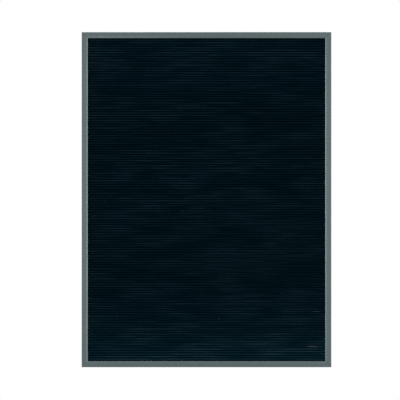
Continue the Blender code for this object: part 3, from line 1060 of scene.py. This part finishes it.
    def build(self) -> None:
        low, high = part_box("felt_face")
        felt = NeedleFelt(front=low.y, foot=low.z, height=high.z - low.z).build()
        sheet = add_piece("felt_sheet", self.mesh(), felt, ["felt_face"])
        flat = (high.x - low.x, self.developed_length())
        LOG.info("felt_sheet: cut %.0f by %.0f mm", flat[0] / MM, flat[1] / MM)
        core = PressedBoard("sawn_fibreboard", "#A98A62", "#8C6F4A", "#5E4A33", roughness=0.8)
        dress("slotted_core", core.build())


@dataclass(frozen=True)
class Pill:
    """A spot where the felt's nap has been rubbed up: a bunch of strands that lies along a rib.

    Its place is measured from the board's middle, as X and Z.
    """

    place: Point
    length: float
    width: float
    strands: int


@dataclass
class Lint:
    """The pale spots on the felt: two rubbed-up pills at the lower right and a few thin loose fibres."""

    outline: Outline
    panel: FeltPanel
    pills: tuple[Pill, ...] = (
        Pill((316 * MM, -440 * MM), 38 * MM, 3.2 * MM, 44),
        Pill((330 * MM, -330 * MM), 34 * MM, 1.6 * MM, 6),
    )
    pill_least: float = 0.3
    pill_tilt: float = 0.03
    pill_curl: float = 0.02
    pill_thinnest: float = 0.3 * MM
    pill_thickest: float = 0.6 * MM
    pill_rise: float = 0.4 * MM
    pill_patch: float = 14 * MM
    strands: int = 26
    shortest: float = 3 * MM
    longest: float = 9 * MM
    thinnest: float = 0.06 * MM
    thickest: float = 0.12 * MM
    most_offset: float = 1.2 * MM
    most_curl: float = 0.16
    tilt_spread: float = 0.35
    inset: float = 25 * MM
    # The two values that shape each spread, so that most fibres lie low and on the left
    spread_across: tuple[float, float] = (1.0, 2.4)
    spread_up: tuple[float, float] = (1.2, 3.0)
    strand_bends: int = 6
    strand_sides: int = 5
    # A little over 1, so that a strand's ends keep a small blunt face
    strand_swell: float = 1.01
    sharp_over: float = 80.0
    seed: int = 4

    def nearest_crown(self, height: float) -> float:
        """The height of the rib's crown nearest to a height."""
        crowns = np.array(self.panel.grooves())[:-1] - self.panel.pitch / 2
        return crowns[np.argmin(abs(crowns - height))]

    def strand(self, centre: Point, size: Point3, tilt: float, curl: float) -> bmesh.types.BMesh:
        """A thin form that lies on a rib's crown and runs out to a point at both ends.

        Args:
            centre: Its middle, as X and Z.
            size: Its length, width and thickness.
            tilt: Its angle from the rib's line, in radians.
            curl: How far its middle bows out, as a share of its length.

        Returns:
            The closed form.
        """
        length, width, thickness = size
        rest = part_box("felt_face")[0].y - thickness / 2
        rings = []
        for bend in range(self.strand_bends + 1):
            share = 2 * bend / self.strand_bends - 1
            swell = math.sqrt(self.strand_swell - share**2)
            along, off = share * length / 2, curl * length * (1 - share**2)
            x = centre[0] + along * math.cos(tilt) - off * math.sin(tilt)
            z = centre[1] + along * math.sin(tilt) + off * math.cos(tilt)
            ring = []
            for side in range(self.strand_sides):
                turn = 2 * math.pi * side / self.strand_sides
                lift = thickness / 2 * swell * math.cos(turn)
                up = width / 2 * swell**2 * math.sin(turn)
                ring.append((x - up * math.sin(tilt), rest + lift, z + up * math.cos(tilt)))
            rings.append(ring)
        return stack_rings(rings)

    def join(self, name: str, forms: Iterable[bmesh.types.BMesh]) -> bpy.types.Mesh:
        """Put several forms into one mesh.

        Args:
            name: The mesh's name.
            forms: The forms, which are used up.

        Returns:
            The mesh.
        """
        joined = bmesh.new()
        for form in forms:
            part = bpy.data.meshes.new(name)
            form.to_mesh(part)
            form.free()
            joined.from_mesh(part)
            bpy.data.meshes.remove(part)
        return finish_mesh(name, joined, self.sharp_over)

    def build_pills(self) -> None:
        """Lay each pill's strands on the rib nearest to its place, thickest in its middle."""
        random = np.random.default_rng(self.seed)
        forms = []
        for pill in self.pills:
            middle = self.nearest_crown(self.outline.middle + pill.place[1])
            for _ in range(pill.strands):
                share = random.uniform(-1, 1) * random.uniform(0, 1)
                length = pill.length * random.uniform(self.pill_least, 1 - abs(share) / 2)
                spread = pill.width / 2 * (1 - share**2)
                centre = (pill.place[0] + share * pill.length / 2, middle + random.uniform(-spread, spread))
                size = (length, random.uniform(self.pill_thinnest, self.pill_thickest), self.pill_rise)
                tilt, curl = random.normal(0, self.pill_tilt), random.normal(0, self.pill_curl)
                forms.append(self.strand(centre, size, tilt, curl))
        finish = LooseFibre("pilled_needle_felt", "#36444B", "#2A393F", patch=self.pill_patch).build()
        add_piece("felt_pills", self.join("felt_pills", forms), finish)

    def build_fibres(self) -> None:
        """Scatter the loose fibres, most of them low on the left."""
        random = np.random.default_rng(self.seed)
        low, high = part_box("felt_face")
        span = high - low
        forms = []
        for _ in range(self.strands):
            x = low.x + self.inset + (span.x - 2 * self.inset) * random.beta(*self.spread_across)
            z = low.z + self.inset + (span.z - 2 * self.inset) * random.beta(*self.spread_up)
            z = self.nearest_crown(z) + random.uniform(-self.most_offset, self.most_offset)
            length = random.uniform(self.shortest, self.longest)
            thickness = random.uniform(self.thinnest, self.thickest)
            tilt, curl = random.normal(0, self.tilt_spread), random.uniform(-self.most_curl, self.most_curl)
            forms.append(self.strand((x, z), (length, thickness, thickness), tilt, curl))
        finish = LooseFibre("settled_cotton_lint", "#8D969A", "#5C666B").build()
        add_piece("lint", self.join("lint", forms), finish)

    def build(self) -> None:
        """Make the pills and the fibres."""
        self.build_pills()
        self.build_fibres()


@dataclass
class Backing:
    """The hardboard back and the bowed clips behind it."""

    def build(self) -> None:
        """Dress the frame's own nodes."""
        board = PressedBoard("smooth_hardboard", "#7A5A3E", "#64472F", "#3F2C1D", roughness=0.55)
        dress("backboard", board.build())
        spring = SkinnedSteel("spring_steel_strip", "#5A6168", "#4A4F58", 0.34)
        dress("spring_clip_", spring.build())


@dataclass
class CornerHardware:
    """The angle, shim and two set screws in each corner of the rear channel."""

    outline: Outline
    arm: float = 45 * MM
    clearance: float = 0.3 * MM
    wall: float = 1.5 * MM
    angle_front: float = 20.4 * MM
    angle_thickness: float = 3.0 * MM
    corner_cut: float = 2.0 * MM
    corner_round: float = 0.8 * MM
    corner_steps: int = 4
    edge: float = 0.25 * MM
    hole_radius: float = 2.3 * MM
    hole_mouth: float = 0.5 * MM
    hole_steps: int = 32
    # How far a cutter stands out of the plate, and how far the flare does, so that it cuts clean through
    cutter_room: float = 1.0 * MM
    flare_room: float = 0.01 * MM
    screw_radius: float = 2.0 * MM
    thread_depth: float = 0.38 * MM
    thread_pitch: float = 0.7 * MM
    thread_steps: int = 6
    screw_sides: int = 24
    end_chamfer: float = 0.45 * MM
    socket_flats: float = 2.0 * MM
    socket_depth: float = 2.0 * MM
    sharp_over: float = 40.0
    # Clouds on the screws are smaller than on sheet
    oxide_cloud: float = 1.5 * MM

    def angle_mesh(self, name: str, corner: Side, screws: Sequence[Point]) -> bpy.types.Mesh:
        """The thick L-shaped plate with softened edges and two flared holes.

        Args:
            name: The mesh's name.
            corner: The corner that it sits in.
            screws: The X and Z of its screws.

        Returns:
            The plate's mesh.
        """
        low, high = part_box("rail_top")
        outer = self.wall + self.clearance
        inner = high.z - low.z - self.wall - self.clearance
        cut, end = outer + self.corner_cut, outer + self.arm
        outline = [(outer, cut), (cut, outer), (end, outer), (end, inner)]
        outline += [(inner, inner), (inner, end), (outer, end)]
        rounded = round_corners(outline, self.corner_round, self.corner_steps)
        rings = []
        for back in (self.angle_front, self.angle_front + self.angle_thickness):
            rings.append([self.outline.place(corner, along, inwards, back) for along, inwards in rounded])
        front = self.outline.front + self.angle_front
        rear = front + self.angle_thickness
        profile = [
            (front - self.cutter_room, self.hole_radius),
            (rear - self.hole_mouth, self.hole_radius),
            (rear + self.flare_room, self.hole_radius + self.hole_mouth),
            (rear + self.cutter_room, self.hole_radius + self.hole_mouth),
        ]
        cutters = []
        for x, z in screws:
            cuts = [ring_round(x, z, y, [radius] * self.hole_steps) for y, radius in profile]
            cutters.append(stack_rings(cuts))
        return carve(name, stack_rings(rings), cutters, self.edge)

    def screw_mesh(self, name: str, x: float, z: float, tip: float, end: float) -> bpy.types.Mesh:
        """A threaded set screw with a hex socket.

        Args:
            name: The mesh's name.
            x: Its axis in X.
            z: Its axis in Z.
            tip: The Y of its front end.
            end: The Y of its rear end.

        Returns:
            The screw's mesh.
        """
        step = self.thread_pitch / self.thread_steps
        rows = int((end - tip) / step)
        rings = []
        for row in range(rows + 1):
            y = tip + (end - tip) * row / rows
            chamfer = self.screw_radius - self.end_chamfer + min(y - tip, end - y)
            radii = []
            for side in range(self.screw_sides):
                phase = ((y - tip) / self.thread_pitch - side / self.screw_sides) % 1
                thread = self.screw_radius - self.thread_depth * (1 - abs(2 * phase - 1))
                radii.append(min(thread, chamfer))
            rings.append(ring_round(x, z, y, radii))
        sixth = math.pi / 3
        turns = [2 * math.pi * side / self.screw_sides for side in range(self.screw_sides)]
        socket = [self.socket_flats / 2 / math.cos(turn % sixth - sixth / 2) for turn in turns]
        rings += [ring_round(x, z, y, socket) for y in (end, end - self.socket_depth)]
        return finish_mesh(name, stack_rings(rings), self.sharp_over)

    def build(self) -> None:
        """Make the angles and screws, and dress the shims."""
        zinc = SkinnedSteel("zinc_plated_steel", "#B4B8BC", "#ABAC9F", 0.3).build()
        skin = SkinnedSteel("black_oxide_steel", "#26282B", "#1C1D20", 0.42, cloud_size=self.oxide_cloud)
        oxide = skin.build()
        for corner in CORNER_SIDES:
            screws = []
            for number in (1, 2):
                node = f"set_screw_{corner.title}_{number}"
                low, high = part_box(node)
                screws.append(axis_of(node))
                name = f"threaded_screw_{corner.title}_{number}"
                mesh = self.screw_mesh(name, *screws[-1], low.y, high.y)
                add_piece(name, mesh, oxide, [node])
            name = f"angle_{corner.title}"
            mesh = self.angle_mesh(name, corner, screws)
            add_piece(name, mesh, zinc, [f"corner_angle_{corner.title}"])
        dress("corner_shim_", SkinnedSteel("cold_rolled_steel", "#9A9DA1", "#8B8D92", 0.28).build())


@dataclass
class WallFittings:
    """The keyhole hangers in the top channel and the rubber pads on the back."""

    outline: Outline
    steel: float = 1.0 * MM
    outer_bend: float = 0.6 * MM
    inner_bend: float = 0.2 * MM
    bend_steps: int = 4
    edge: float = 0.15 * MM
    crown_inset: float = 1.5 * MM
    keyhole_radius: float = 3.5 * MM
    slot_radius: float = 2.25 * MM
    slot_rise: float = 3.0 * MM
    hole_steps: int = 40
    pad_sides: int = 64
    pad_edge: float = 0.8 * MM
    pad_edge_steps: int = 6
    pad_foot: float = 0.2 * MM
    pad_dish: float = 0.35 * MM
    # The moulded ring round the dish, and two rings on the dish's floor, as shares of the pad's radius
    dish_share: float = 0.62
    dish_slope: float = 0.5 * MM
    floor_shares: tuple[float, float] = (0.3, 0.05)
    sharp_over: float = 45.0

    def hanger_mesh(self, name: str, node: str) -> bpy.types.Mesh:
        """The hat-shaped strip with its keyhole.

        Args:
            name: The mesh's name.
            node: The frame's node that gives its place.

        Returns:
            The hanger's mesh.
        """
        low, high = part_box(node)
        crown_low, crown_high = low.z + self.crown_inset, high.z - self.crown_inset
        flange = low.y + self.steel
        corners = [
            (low.z, low.y),
            (crown_low + self.steel, low.y),
            (crown_low + self.steel, high.y - self.steel),
            (crown_high - self.steel, high.y - self.steel),
            (crown_high - self.steel, low.y),
            (high.z, low.y),
            (high.z, flange),
            (crown_high, flange),
            (crown_high, high.y),
            (crown_low, high.y),
            (crown_low, flange),
            (low.z, flange),
        ]
        # The flanges' ends are square. Between them lie the four inner bends, and then the four outer ones.
        radii = [0.0, *[self.inner_bend] * 4, 0.0, 0.0, *[self.outer_bend] * 4, 0.0]
        section = round_corners(corners, radii, self.bend_steps)
        strip = stack_rings([[(x, y, z) for z, y in section] for x in (low.x, high.x)])
        middle_x, middle_z = axis_of(node)
        drop = (self.keyhole_radius - self.slot_radius - self.slot_rise) / 2
        joint = math.degrees(math.asin(self.slot_radius / self.keyhole_radius))
        slot = arc(0, drop + self.slot_rise, self.slot_radius, 0, 180, self.hole_steps // 2)
        hole = arc(0, drop, self.keyhole_radius, 90 + joint, 450 - joint, self.hole_steps)
        rings = []
        for y in (high.y - 2 * self.steel, high.y + self.steel):
            rings.append([(middle_x + x, y, middle_z + z) for x, z in slot + hole])
        return carve(name, strip, [stack_rings(rings)], self.edge)

    def pad_mesh(self, name: str, node: str) -> bpy.types.Mesh:
        """A round pad with a soft edge, a moulded ring and a slightly dished face.

        Args:
            name: The mesh's name.
            node: The frame's node that gives its place.

        Returns:
            The pad's mesh.
        """
        low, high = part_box(node)
        x, z = axis_of(node)
        radius, edge = (high.x - low.x) / 2, self.pad_edge
        profile = [(radius - self.pad_foot, low.y), (radius, low.y + self.pad_foot)]
        profile += arc(radius - edge, high.y - edge, edge, 0, 90, self.pad_edge_steps)
        dish, floor = radius * self.dish_share, high.y - self.pad_dish
        profile += [(dish + self.dish_slope, high.y), (dish, floor)]
        profile += [(radius * share, floor) for share in self.floor_shares]
        rings = [ring_round(x, z, y, [around] * self.pad_sides) for around, y in profile]
        return finish_mesh(name, stack_rings(rings), self.sharp_over)

    def build(self) -> None:
        """Make the hangers and pads."""
        spring = SkinnedSteel("blued_spring_steel", "#4B525B", "#3C4350", 0.32).build()
        rubber = MouldedRubber().build()
        for hand in ("left", "right"):
            name = f"keyhole_hanger_{hand}"
            mesh = self.hanger_mesh(name, f"hanger_{hand}")
            add_piece(name, mesh, spring, [f"hanger_{hand}"])
            for end in ("top", "bottom"):
                name = f"rubber_pad_{end}_{hand}"
                node = f"wall_pad_{end}_{hand}"
                add_piece(name, self.pad_mesh(name, node), rubber, [node])


@dataclass
class PictureCamera:
    """A long-lens camera square to the board, framed as in the picture."""

    outline: Outline
    lens: float = 100.0
    sensor: float = 36.0
    near: float = 0.1
    far: float = 60.0
    # The frame's outer edges in pixels of the picture's 400 by 400. They lie a little outside the edges that
    # the eye sees, because the rounded arris mirrors the white studio and melts into it.
    picture: float = 400.0
    left: float = 81.47
    right: float = 331.51
    top: float = 32.06
    bottom: float = 367.25

    def build(self) -> None:
        """Set the camera so that the board's front edges fall where the picture has them."""
        per_pixel = self.outline.height / (self.bottom - self.top)
        distance = self.picture * per_pixel * self.lens / self.sensor
        across = ((self.left + self.right) / 2 - self.picture / 2) * per_pixel
        down = ((self.top + self.bottom) / 2 - self.picture / 2) * per_pixel
        data = bpy.data.cameras.new("picture_camera")
        data.lens, data.sensor_width = self.lens, self.sensor
        data.clip_start, data.clip_end = self.near, self.far
        camera = put("picture_camera", data)
        camera.location = (-across, self.outline.front - distance, self.outline.middle + down)
        camera.rotation_euler = (math.pi / 2, 0, 0)
        bpy.context.scene.camera = camera
        LOG.info("camera: %.3f m in front of the board", distance)


@dataclass
class Softbox:
    """One square lamp, aimed at the board's middle."""

    name: str
    place: Point3
    size: float
    power: float


@dataclass
class Studio:
    """A white studio: soft light all round, a pale floor well below the board, and five softboxes."""

    outline: Outline
    floor_drop: float = 0.45
    floor_size: float = 60.0
    floor_colour: str = "#F4F4F2"
    fade_start: float = 0.7
    fade_end: float = 1.9
    ambience: float = 0.4
    white_kinds: tuple[str, ...] = ("Is Camera Ray", "Is Glossy Ray", "Is Transmission Ray")
    lamps: tuple[Softbox, ...] = (
        Softbox("top", (-0.5, -1.1, 3.3), 1.2, 46.0),
        Softbox("right_side", (3.0, -5.2, 0.6), 2.4, 58.0),
        Softbox("left_side", (-3.0, -5.2, 0.5), 2.4, 58.0),
        Softbox("back_key", (1.2, 1.8, 2.6), 1.2, 42.0),
        Softbox("back_fill", (-1.9, 2.2, 0.7), 1.4, 16.0),
    )

    def white_rays(self, tree: bpy.types.NodeTree) -> Value:
        """1 for the kinds of ray that see plain white, 0 for the others."""
        path = add_node(tree, "LightPath")
        total, *others = (path.outputs[kind] for kind in self.white_kinds)
        for other in others:
            total = add_node(tree, "Math", {0: total, 1: other}, operation="MAXIMUM")
        return total

    def build_world(self) -> None:
        """White behind the board and in its reflections, and a softer light on its matt surfaces."""
        world = bpy.data.worlds.new("studio_white")
        tree = empty_tree(world)
        white = add_node(tree, "Background", {"Color": WHITE, "Strength": 1.0})
        soft = add_node(tree, "Background", {"Color": WHITE, "Strength": self.ambience})
        mixed = add_node(tree, "MixShader", {0: self.white_rays(tree), 1: soft, 2: white})
        add_node(tree, "OutputWorld", {"Surface": mixed})
        bpy.context.scene.world = world

    def build_floor(self) -> None:
        """A matt floor that keeps the board's shadow near it and turns to plain white further off."""
        level, half = self.outline.foot - self.floor_drop, self.floor_size / 2
        signs = ((-1, -1), (1, -1), (1, 1), (-1, 1))
        mesh = bpy.data.meshes.new("floor")
        mesh.from_pydata([(x * half, y * half, level) for x, y in signs], [], [(0, 1, 2, 3)])
        floor = put("floor", mesh)
        material = bpy.data.materials.new("matt_floor_paint")
        tree = empty_tree(material)
        paint = add_node(tree, "BsdfDiffuse", {"Color": linear(self.floor_colour)})
        white = add_node(tree, "Emission", {"Color": WHITE, "Strength": 1.0})
        place = add_node(tree, "TexCoord").outputs["Object"]
        flat = add_node(tree, "VectorMath", {0: place, 1: (1.0, 1.0, 0.0)}, operation="MULTIPLY")
        away = add_node(tree, "VectorMath", {0: flat}, operation="LENGTH").outputs["Value"]
        inputs = {"Value": away, 1: self.fade_start, 2: self.fade_end}
        fade = add_node(tree, "MapRange", inputs, interpolation_type="SMOOTHSTEP")
        amount = add_node(tree, "Math", {0: fade, 1: self.white_rays(tree)}, operation="MULTIPLY")
        top = add_node(tree, "MixShader", {0: amount, 1: paint, 2: white})
        clear = add_node(tree, "BsdfTransparent")
        below = add_node(tree, "NewGeometry").outputs["Backfacing"]
        both = add_node(tree, "MixShader", {0: below, 1: top, 2: clear})
        add_node(tree, "OutputMaterial", {"Surface": both})
        mesh.materials.append(material)
        LOG.info("floor: %.2f m under the board", self.floor_drop)

    def build_lamps(self) -> None:
        """Hang the softboxes and aim them at the board's middle."""
        target = Vector((0, 0, self.outline.middle))
        for lamp in self.lamps:
            data = bpy.data.lights.new(lamp.name, "AREA")
            data.shape, data.size, data.energy = "SQUARE", lamp.size, lamp.power
            light = put(lamp.name, data)
            light.location = lamp.place
            light.rotation_euler = (target - Vector(lamp.place)).to_track_quat("-Z", "Y").to_euler()
            LOG.info("%s: %.0f W", lamp.name, lamp.power)

    def build(self) -> None:
        """Make the world, the floor and the lamps."""
        self.build_world()
        self.build_floor()
        self.build_lamps()
        bpy.context.scene.view_settings.view_transform = "Standard"


def main() -> None:
    """Build the board piece by piece, then the camera and the studio round it."""
    logging.basicConfig(level=logging.INFO, format="%(message)s")
    outline = Outline()
    panel = FeltPanel(outline)
    assemblies: list[Callable[[], None]] = [
        ChannelFrame(outline).build,
        panel.build,
        Lint(outline, panel).build,
        Backing().build,
        CornerHardware(outline).build,
        WallFittings(outline).build,
        PictureCamera(outline).build,
        Studio(outline).build,
    ]
    for build in assemblies:
        build()


if __name__ == "__main__":
    main()
